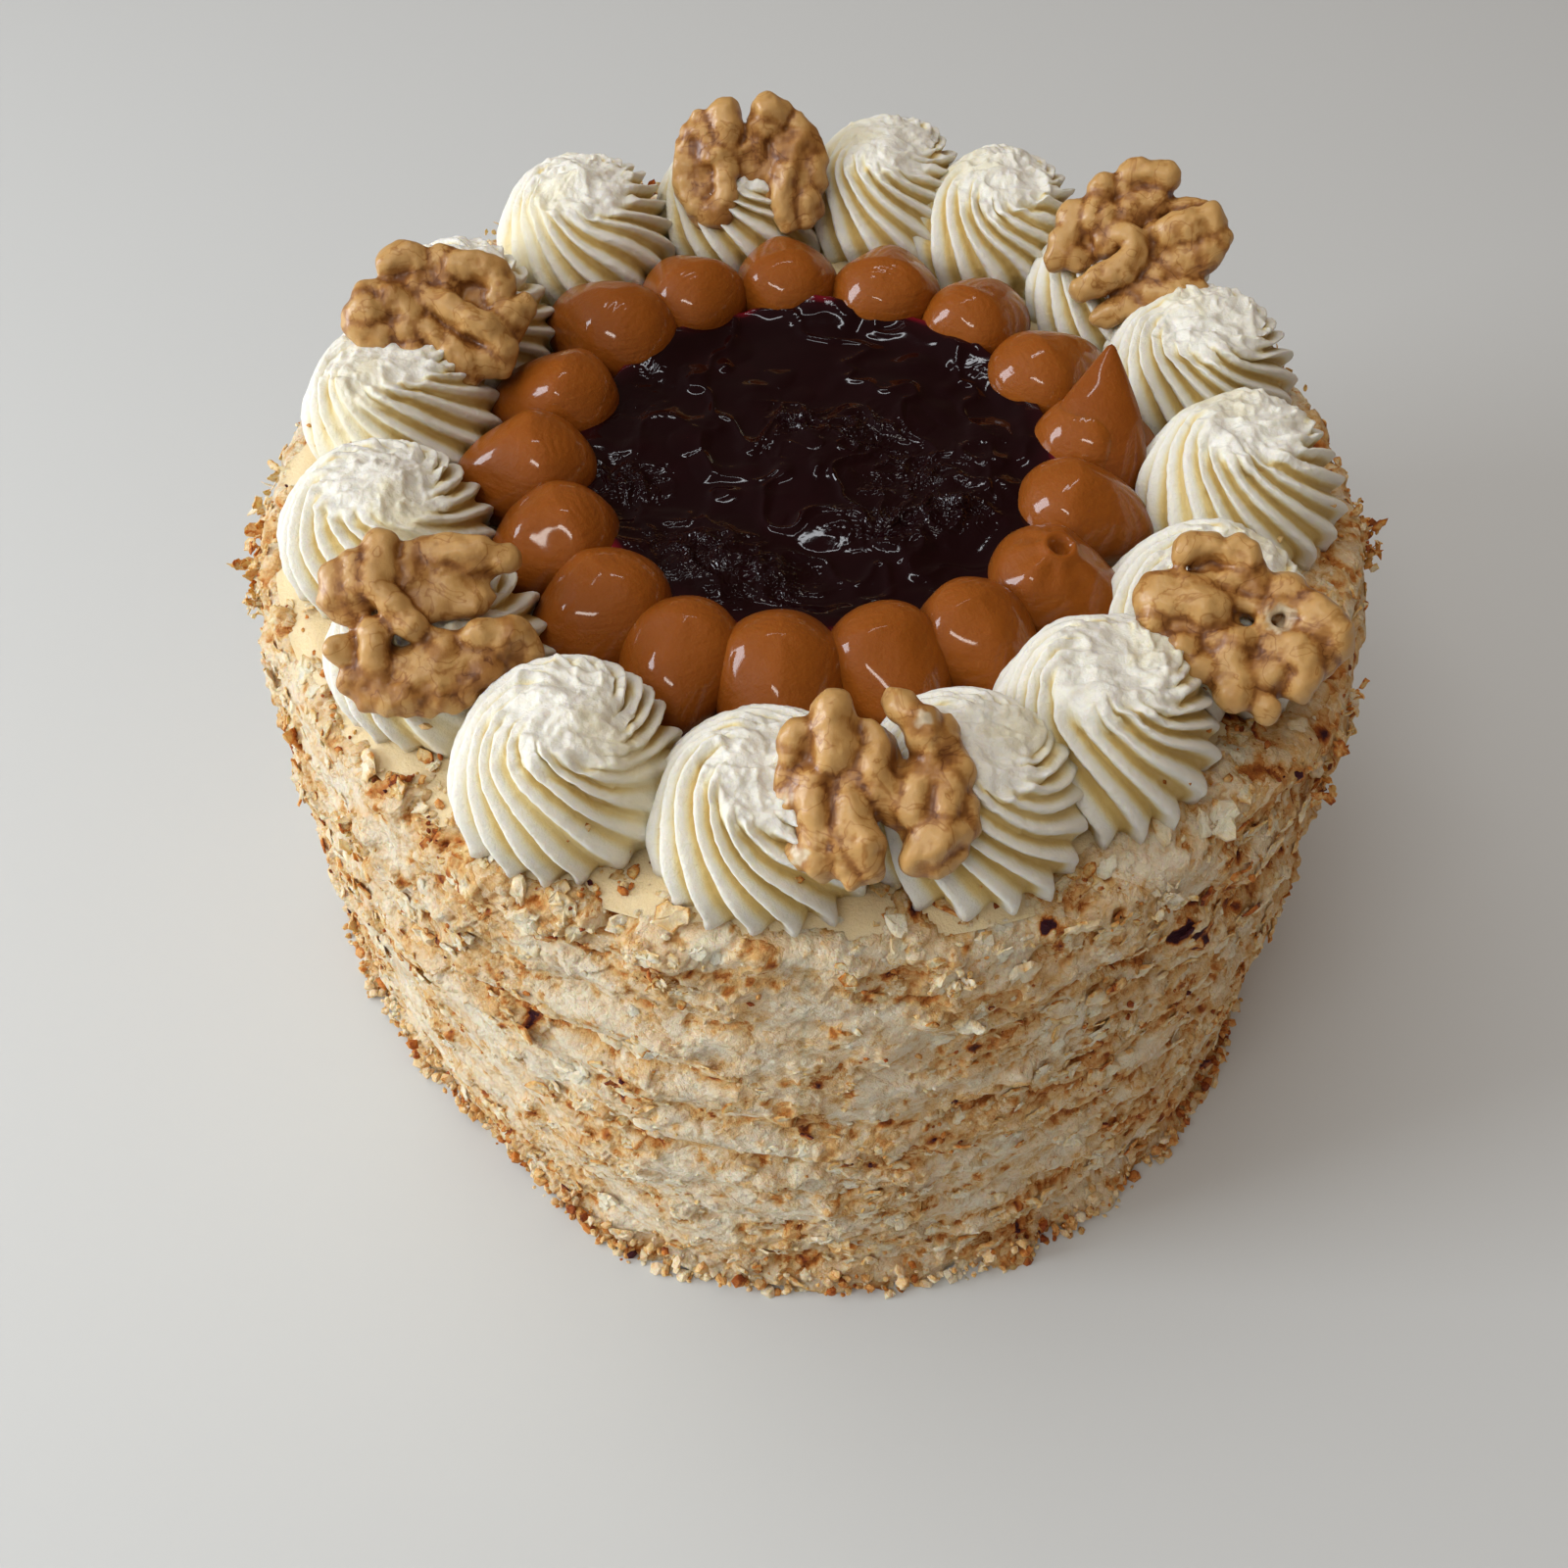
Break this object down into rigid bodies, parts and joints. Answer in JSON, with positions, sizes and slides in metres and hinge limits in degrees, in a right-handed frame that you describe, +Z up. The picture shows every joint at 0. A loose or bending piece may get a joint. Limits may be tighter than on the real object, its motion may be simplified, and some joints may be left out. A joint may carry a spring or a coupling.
{
  "type": "dulce de leche layer cake",
  "caption": "Tall round dulce de leche layer cake: side coated in pastry crumbs, ring of piped cream rosettes with walnut halves, ring of caramel beads round dark fruit jam.",
  "frame": {"origin": "middle of the flat underside of the cake, on the surface it stands on", "axes": "+Z up, -Y towards the viewer of the picture, +X to the right"},
  "size_m": [0.2372, 0.2351, 0.1619],
  "materials": {
    "pastry_crumb": "dry crumbs and flakes of baked puff pastry, pale beige with golden and toasted bits, rough",
    "cream": "whipped cream, ivory, soft and slightly translucent",
    "dulce_de_leche": "thick caramel brown milk jam, smooth and glossy",
    "fruit_jam": "dark purple fruit jam, lumpy, wet and very glossy",
    "walnut": "shelled walnut half, light golden brown skin with thin veins, satin"
  },
  "bodies": {
    "root": {"cake_body": "pastry_crumb", "top_cream": "cream", "fruit_jam": "fruit_jam", "dulce_01": "dulce_de_leche", "dulce_02": "dulce_de_leche", "dulce_03": "dulce_de_leche", "dulce_04": "dulce_de_leche", "dulce_05": "dulce_de_leche", "dulce_06": "dulce_de_leche", "dulce_07": "dulce_de_leche", "dulce_08": "dulce_de_leche", "dulce_09": "dulce_de_leche", "dulce_10": "dulce_de_leche", "dulce_11": "dulce_de_leche", "dulce_12": "dulce_de_leche", "dulce_13": "dulce_de_leche", "dulce_14": "dulce_de_leche", "dulce_15": "dulce_de_leche", "dulce_16": "dulce_de_leche", "dulce_17": "dulce_de_leche", "rosette_01": "cream", "rosette_02": "cream", "rosette_03": "cream", "rosette_04": "cream", "rosette_05": "cream", "rosette_06": "cream", "rosette_07": "cream", "rosette_08": "cream", "rosette_09": "cream", "rosette_10": "cream", "rosette_11": "cream", "rosette_12": "cream", "rosette_13": "cream", "rosette_14": "cream", "rosette_15": "cream", "rosette_16": "cream", "walnut_1": "walnut", "walnut_2": "walnut", "walnut_3": "walnut", "walnut_4": "walnut", "walnut_5": "walnut", "walnut_6": "walnut"}
  },
  "joints": []
}
